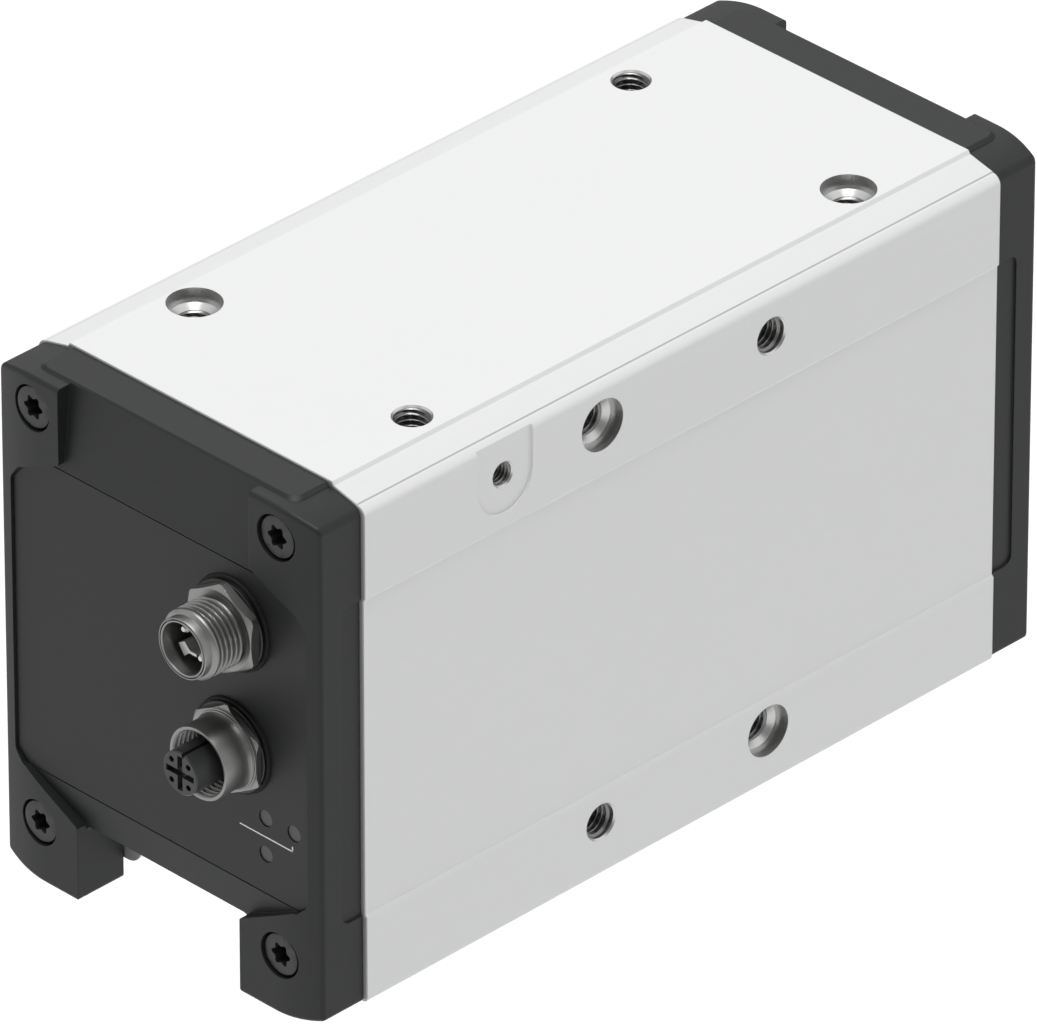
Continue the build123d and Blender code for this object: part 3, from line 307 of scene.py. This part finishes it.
# ------------------------------------------------------------------ mesh helpers
def piece(name, verts, faces, mat, body="housing", sharp=32.0):
    me = bpy.data.meshes.new(name)
    me.from_pydata([tuple(c * MM for c in v) for v in verts], [], faces)
    bm = bmesh.new()
    bm.from_mesh(me)
    bmesh.ops.recalc_face_normals(bm, faces=bm.faces)
    bm.to_mesh(me)
    bm.free()
    me.polygons.foreach_set("use_smooth", [True] * len(me.polygons))
    me.set_sharp_from_angle(angle=math.radians(sharp))
    me.materials.append(mat)
    ob = bpy.data.objects.new(name, me)
    scene.collection.objects.link(ob)
    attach(ob, body)
    return ob


def basis(kind, a, b):
    """Map (along the axis, across, across) to the row frame in mm. kind names the face the axis leaves."""
    if kind == "front":
        return lambda h, p, q: (-HX - h, a + p, b - HEIGHT + q)
    if kind == "top":
        return lambda h, p, q: (a + p, b + q, h)
    if kind == "side-":
        return lambda h, p, q: (a + p, -36.0 - h, b - HEIGHT + q)
    if kind == "side+":
        return lambda h, p, q: (a + p, 36.0 + h, b - HEIGHT + q)
    raise ValueError(kind)


def lathe(place, profile, n=128):
    """Closed ring swept round the axis from a closed (h, r) outline."""
    verts, faces = [], []
    m = len(profile)
    for j in range(n):
        t = 2 * math.pi * j / n
        c, s_ = math.cos(t), math.sin(t)
        for h, rad in profile:
            verts.append(place(h, rad * c, rad * s_))
    for j in range(n):
        for i in range(m):
            a0, a1 = j * m + i, j * m + (i + 1) % m
            b0, b1 = ((j + 1) % n) * m + i, ((j + 1) % n) * m + (i + 1) % m
            faces.append((a0, a1, b1, b0))
    return verts, faces


def thread_wave(f, crest=0.14, root=0.20):
    """0 at the root, 1 at the crest, along one pitch."""
    f = f % 1.0
    d = abs(f - 0.5) * 2
    lo, hi = crest, 1 - root
    v = 1 - (d - lo) / (hi - lo)
    v = max(0.0, min(1.0, v))
    return v * v * (3 - 2 * v) * 0.35 + v * 0.65


def threaded(place, h0, h1, r_wall, r_root, r_crest, pitch, n=96, per=14, fade=0.5, hand=1):
    """Helical thread ring between r_wall and the thread surface."""
    steps = max(8, int((h1 - h0) / pitch * per))
    verts, faces = [], []
    for i in range(steps + 1):
        h = h0 + (h1 - h0) * i / steps
        k = min(1.0, (h - h0) / (fade * pitch) + 0.02, (h1 - h) / (fade * pitch) + 0.02)
        for j in range(n):
            t = 2 * math.pi * j / n
            w = thread_wave(h / pitch + hand * j / n) * k
            rad = r_root + (r_crest - r_root) * w
            verts.append(place(h, rad * math.cos(t), rad * math.sin(t)))
    base = len(verts)
    for h in (h0, h1):
        for j in range(n):
            t = 2 * math.pi * j / n
            verts.append(place(h, r_wall * math.cos(t), r_wall * math.sin(t)))
    for i in range(steps):
        for j in range(n):
            a, b2 = i * n + j, i * n + (j + 1) % n
            faces.append((a, b2, b2 + n, a + n))
    for j in range(n):
        k = (j + 1) % n
        faces.append((base + j, base + k, k, j))
        faces.append((steps * n + j, steps * n + k, base + n + k, base + n + j))
        faces.append((base + j, base + n + j, base + n + k, base + k))
    return verts, faces


def hex_radius(t, af):
    m = (t + math.pi / 6) % (math.pi / 3) - math.pi / 6
    return af / 2 / math.cos(m)


def paint_flange_shade(ob, h_max):
    """Painted shade: the flange under the hexagon gets a much darker nickel, for the shade the hexagon casts on it."""
    ob.data.materials.append(M["nickel_dark"])
    for poly in ob.data.polygons:
        if -poly.center.x / MM - HX < h_max:
            poly.material_index = 1


def flanks(ob, place, af, layers, mat):
    """Give the flat sides of a hexagon a darker copy of the nickel, painted shade, up to the curved line where the
    turned corner starts.
    """
    ob.data.materials.append(mat)
    o = Vector(place(0, 0, 0))
    for poly in ob.data.polygons:
        c = Vector(poly.center) / MM - o
        h, p, q = -c.x, c.y, c.z
        lim = layers[-1][1]
        for (h0, l0), (h1, l1) in zip(layers[:-1], layers[1:]):
            if h0 <= h <= h1:
                lim = l0 + (l1 - l0) * (h - h0) / (h1 - h0)
        rad = math.hypot(p, q)
        if abs(poly.normal.x) < 0.2 and rad > 6.9 and hex_radius(math.atan2(q, p), af) < lim + 0.02:
            poly.material_index = 1


def hex_nut(place, layers, af, r_in, n=192):
    """Hexagon whose corners are turned down to the (h, limit radius) layers."""
    verts, faces = [], []
    for h, lim in layers:
        for j in range(n):
            t = 2 * math.pi * j / n
            rad = min(hex_radius(t, af), lim)
            verts.append(place(h, rad * math.cos(t), rad * math.sin(t)))
    L = len(layers)
    base = len(verts)
    for h in (layers[0][0], layers[-1][0]):
        for j in range(n):
            t = 2 * math.pi * j / n
            verts.append(place(h, r_in * math.cos(t), r_in * math.sin(t)))
    for i in range(L - 1):
        for j in range(n):
            a, b2 = i * n + j, i * n + (j + 1) % n
            faces.append((a, b2, b2 + n, a + n))
    for j in range(n):
        k = (j + 1) % n
        faces.append((base + j, base + k, k, j))
        faces.append(((L - 1) * n + j, (L - 1) * n + k, base + n + k, base + n + j))
        faces.append((base + j, base + n + j, base + n + k, base + k))
    return verts, faces


# ------------------------------------------------------------------ cut rim of the extrusion, seen in the joint line
HALF_W, CHAMFER_Y, CHAMFER_Z, PLATEAU_Y, STEP_DROP = 36.0, 34.75, 90.35, 28.94, 0.62
half = [(PLATEAU_Y, HEIGHT), (PLATEAU_Y + 0.42, HEIGHT - STEP_DROP),
        (CHAMFER_Y - 0.55, CHAMFER_Z + 0.13), (CHAMFER_Y - 0.28, CHAMFER_Z - 0.02)]
half += [(HALF_W - 1.75 + 1.75 * math.cos(math.radians(72 - 6 * k)), CHAMFER_Z - 1.75 + 1.75 * math.sin(math.radians(72 - 6 * k)))
         for k in range(13)]
half += [(HALF_W, 74.02), (HALF_W - 0.38, 73.57), (HALF_W - 0.38, 16.2), (HALF_W, 15.75), (HALF_W, 1.1)]
line = [(-y, z) for (y, z) in reversed(half)] + half


def rim(name, end):
    sect = [(-0.05, 0.03), (0.06, 0.03), (0.14, 0.07), (0.19, 0.14), (0.20, 0.24), (0.20, 1.05), (-0.05, 1.05)]
    verts, faces = [], []
    n, m = len(line), len(sect)
    for i, (y, z) in enumerate(line):
        a = line[max(i - 1, 0)]
        b = line[min(i + 1, n - 1)]
        t0 = Vector((y - a[0], z - a[1]))
        t1 = Vector((b[0] - y, b[1] - z))
        t0 = (t0 if t0.length > 0 else t1).normalized()
        t1 = (t1 if t1.length > 0 else t0).normalized()
        n0, n1 = Vector((t0.y, -t0.x)), Vector((t1.y, -t1.x))
        mit = (n0 + n1).normalized()
        mit /= max(0.5, mit.dot(n0))
        for h, d in sect:
            verts.append((end * (HX + h), y + mit.x * d, z - HEIGHT + mit.y * d))
    for i in range(n - 1):
        for j in range(m):
            k = (j + 1) % m
            faces.append((i * m + j, i * m + k, (i + 1) * m + k, (i + 1) * m + j))
    faces.append(tuple(range(m)))
    faces.append(tuple((n - 1) * m + j for j in range(m)))
    # the rim's mid grey colour is painted shade of the rounded edge; the rounded shape itself is real
    return piece(name, verts, faces, M["end_rim"], sharp=50)


rim("housing_front_rim", -1)
rim("housing_rear_rim", 1)

# ------------------------------------------------------------------ threads of the tapped holes
# the thread rings carry the painted-shade thread colour
for i, (x, y, big) in enumerate(TOP_HOLES):
    v, f = threaded(basis("top", x, y), -11.8, -3.2 if big else -0.35, 3.03, 2.99, 2.50, 1.0, n=72, fade=0.25, hand=-1)
    piece("top_hole_thread_%d" % (i + 1), v, f, M["thread_deep"])
for side, kind in ((-1, "side-"), (1, "side+")):
    for i, (x, z, big) in enumerate(SIDE_HOLES):
        v, f = threaded(basis(kind, x if side < 0 else -x, z), -11.8, -3.2 if big else -0.75, 3.03, 2.99, 2.50, 1.0, n=72, fade=0.25, hand=1)
        piece("side_hole_thread_%s%d" % ("a" if side < 0 else "b", i + 1), v, f, M["thread_deep"])
v, f = threaded(basis("side-", *EARTH), -8.8, -0.8, 2.03, 1.99, 1.64, 0.7, n=64)
piece("earth_hole_thread", v, f, M["thread_deep"])

# ------------------------------------------------------------------ connectors
CON_Y, POWER_Z, COM_Z = -16.2, 65.2, 42.9
pw = basis("front", CON_Y, POWER_Z)
v, f = lathe(pw, [(8.2, 6.45), (9.62, 6.45), (9.62, 7.60), (9.72, 7.74), (10.3, 7.74), (10.42, 7.62), (10.42, 6.3),
                  (12.2, 6.3), (12.22, 5.30), (17.4, 5.30), (17.62, 5.90), (17.72, 5.98), (18.10, 5.98), (18.26, 5.90),
                  (18.52, 5.36), (18.62, 5.22), (19.90, 5.20), (20.00, 5.17), (20.05, 5.11), (20.05, 5.00), (20.02, 4.97),
                  (19.45, 4.96), (19.45, 4.77), (20.00, 4.76), (20.05, 4.72), (20.05, 4.52), (19.98, 4.44), (19.85, 4.41),
                  (12.3, 4.41), (8.2, 4.41)])
power_body = piece("power_shell_turned", v, f, M["nickel"], sharp=38)
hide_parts("power_connector_shell")
paint_flange_shade(power_body, 10.45)
v, f = threaded(pw, 12.35, 17.62, 5.0, 5.34, 5.98, 1.0, n=128, per=18, fade=0.35)
piece("power_shell_thread", v, f, M["nickel"])
def cone_layers(h0, r0, h1, r1, n=12):
    return [(h0 + (h1 - h0) * i / n, r0 + (r1 - r0) * i / n) for i in range(n + 1)]


lay = [(10.4, 7.80), (10.48, 7.92)] + cone_layers(11.66, 7.92, 12.16, 6.90)
v, f = hex_nut(pw, lay, 14.05, 6.0, n=288)
flanks(piece("power_shell_hexagon", v, f, M["nickel"], sharp=14), pw, 14.05, lay, M["nickel_flats_painted_shade"])

cm = basis("front", CON_Y, COM_Z)
v, f = lathe(cm, [(8.2, 6.45), (9.62, 6.45), (9.62, 7.60), (9.70, 7.72), (10.12, 7.72), (10.22, 7.62), (10.22, 6.2),
                  (11.10, 6.2), (11.10, 6.98), (11.16, 7.02), (11.26, 7.02), (11.30, 6.96), (11.30, 6.76), (11.40, 6.74),
                  (11.50, 6.70), (11.54, 6.56), (11.66, 6.50), (11.95, 6.36), (12.40, 6.27), (13.2, 6.25), (16.84, 6.25),
                  (16.92, 6.21), (16.95, 6.14), (16.95, 5.80), (16.90, 5.70), (16.62, 5.50), (16.60, 5.97), (10.7, 5.97),
                  (10.7, 3.85), (8.2, 3.85)])
com_body = piece("com_shell_turned", v, f, M["nickel"], sharp=38)
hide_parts("com_connector_shell")
paint_flange_shade(com_body, 10.25)
v, f = threaded(cm, 11.4, 16.86, 6.1, 5.95, 5.47, 1.0, n=128, per=18, fade=0.3)
piece("com_shell_thread", v, f, M["nickel"])
lay = [(10.2, 7.85), (10.25, 7.95)] + cone_layers(10.72, 7.95, 11.13, 7.42)
v, f = hex_nut(cm, lay, 14.05, 6.1, n=288)
flanks(piece("com_shell_hexagon", v, f, M["nickel"], sharp=14), cm, 14.05, lay, M["nickel_flats_painted_shade"])

# print line from the indicators, on the bare front panel
PANEL_E = 9.15


def mark(name, pts, width):
    fr = basis("front", 0.0, 0.0)
    verts, faces = [], []
    for (y0, z0), (y1, z1) in zip(pts[:-1], pts[1:]):
        d = math.hypot(y1 - y0, z1 - z0)
        ny, nz = -(z1 - z0) / d * width / 2, (y1 - y0) / d * width / 2
        b0 = len(verts)
        for h in (PANEL_E - 0.02, PANEL_E + 0.012):
            verts += [fr(h, y0 + ny, z0 + nz), fr(h, y1 + ny, z1 + nz), fr(h, y1 - ny, z1 - nz), fr(h, y0 - ny, z0 - nz)]
        q = [b0 + i for i in range(8)]
        faces += [(q[0], q[1], q[2], q[3]), (q[4], q[5], q[6], q[7])]
        faces += [(q[i], q[(i + 1) % 4], q[4 + (i + 1) % 4], q[4 + i]) for i in range(4)]
    return piece(name, verts, faces, M["mark"])


mark("panel_mark_line", [(-17.3, 29.06), (-29.06, 29.06)], 0.24)
mark("panel_mark_tick", [(-28.95, 28.95), (-28.95, 29.95)], 0.24)

# ------------------------------------------------------------------ camera
cam_data = bpy.data.cameras.new("camera")
cam = bpy.data.objects.new("camera", cam_data)
scene.collection.objects.link(cam)
r = Vector((0.70589338, -0.7083181, 0.0000459))
u = Vector((0.37273781, 0.37151699, 0.85031856))
b = Vector((-0.60231309, -0.60021712, 0.52626832))
rot = Matrix((r, u, b)).transposed().to_4x4()
cam.matrix_world = Matrix.Translation(Vector((-1588.608, -1581.997, 1338.534)) * MM) @ rot
cam_data.sensor_fit = "HORIZONTAL"
cam_data.sensor_width = 36.0
cam_data.lens = 579.686
cam_data.clip_start, cam_data.clip_end = 0.1, 60.0
cam_data.dof.use_dof = False
scene.camera = cam

# ------------------------------------------------------------------ stage and light
bpy.ops.mesh.primitive_plane_add(size=40.0, location=(0, 0, -0.9))
floor = bpy.context.object
floor.name = "floor"
fm, fnt, fb = new_mat("floor_pale")
fb.inputs["Base Color"].default_value = (0.96, 0.96, 0.96, 1)
fb.inputs["Emission Color"].default_value = (1, 1, 1, 1)
fb.inputs["Emission Strength"].default_value = 0.08
fb.inputs["Roughness"].default_value = 0.9
floor.data.materials.append(fm)

world = bpy.data.worlds.new("studio")
world.use_nodes = True
scene.world = world
bg = world.node_tree.nodes["Background"]
bg.inputs["Color"].default_value = (1, 1, 1, 1)
bg.inputs["Strength"].default_value = 0.25


def sun(name, direction, strength, angle):
    d = bpy.data.lights.new(name, "SUN")
    d.energy = strength
    d.angle = math.radians(angle)
    o = bpy.data.objects.new(name, d)
    scene.collection.objects.link(o)
    o.rotation_mode = "QUATERNION"
    o.rotation_quaternion = Vector(direction).normalized().to_track_quat("Z", "Y")
    return o


sun("key", (-0.01, -0.02, 1.0), 2.49, 34)
# soft boxes that only show as reflections on the black parts and the metal
for label, direction, strength, angle in (("sheen_back", (0.60, 0.60, 0.54), 0.58, 46),
                                          ("sheen_side", (0.60, -0.62, 0.42), 0.90, 70),
                                          ("sheen_front", (-0.60, 0.60, 0.45), 0.70, 70)):
    sun(label, direction, strength, angle).visible_diffuse = False

scene.view_settings.view_transform = "Standard"
scene.view_settings.look = "None"
